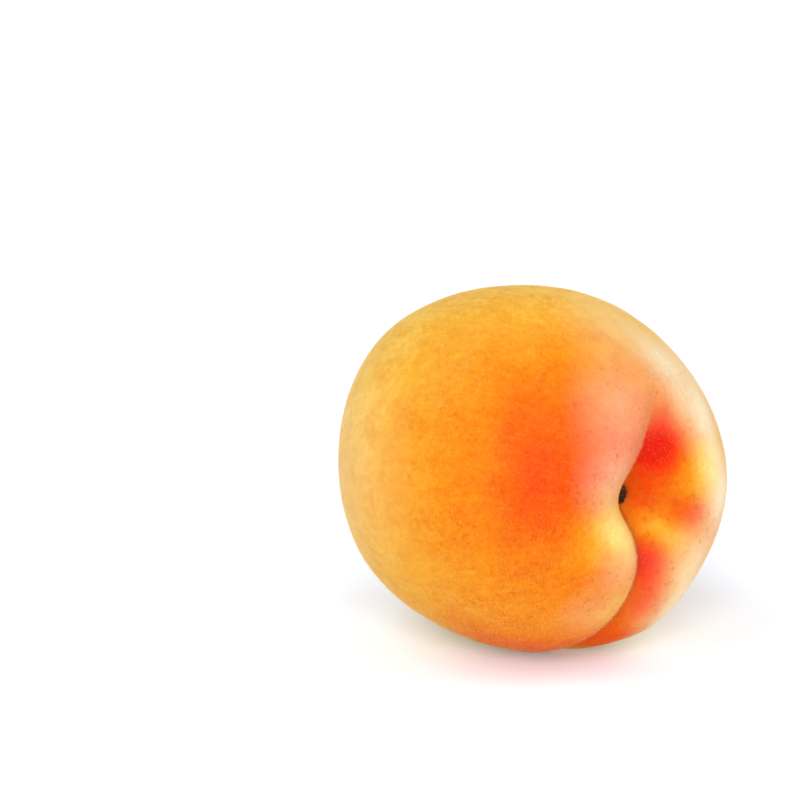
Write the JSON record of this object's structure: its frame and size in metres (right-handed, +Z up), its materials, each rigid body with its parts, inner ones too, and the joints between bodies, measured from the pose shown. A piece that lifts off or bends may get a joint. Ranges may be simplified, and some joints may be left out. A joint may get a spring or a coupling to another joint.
{
  "type": "peach",
  "caption": "Ripe round peach with a velvety orange and red skin, a deep stem cavity and a seam groove, lying on its side.",
  "frame": {"origin": "on the ground under the middle of the fruit's box; the fruit stands on its flat resting spot", "axes": "+X roughly along the stem axis and out of the stem cavity, +Y to the far cheek, -Z out of the resting spot on the seam side, +Z up"},
  "size_m": [0.0672, 0.0692, 0.0681],
  "materials": {
    "peach_skin": "velvety fruit skin, golden with an orange and red blush, under short pale fuzz",
    "stem_wood": "dry dark brown stem wood with fine ribs"
  },
  "bodies": {
    "root": {"fruit": "peach_skin", "stem_stub": "stem_wood"}
  },
  "joints": []
}
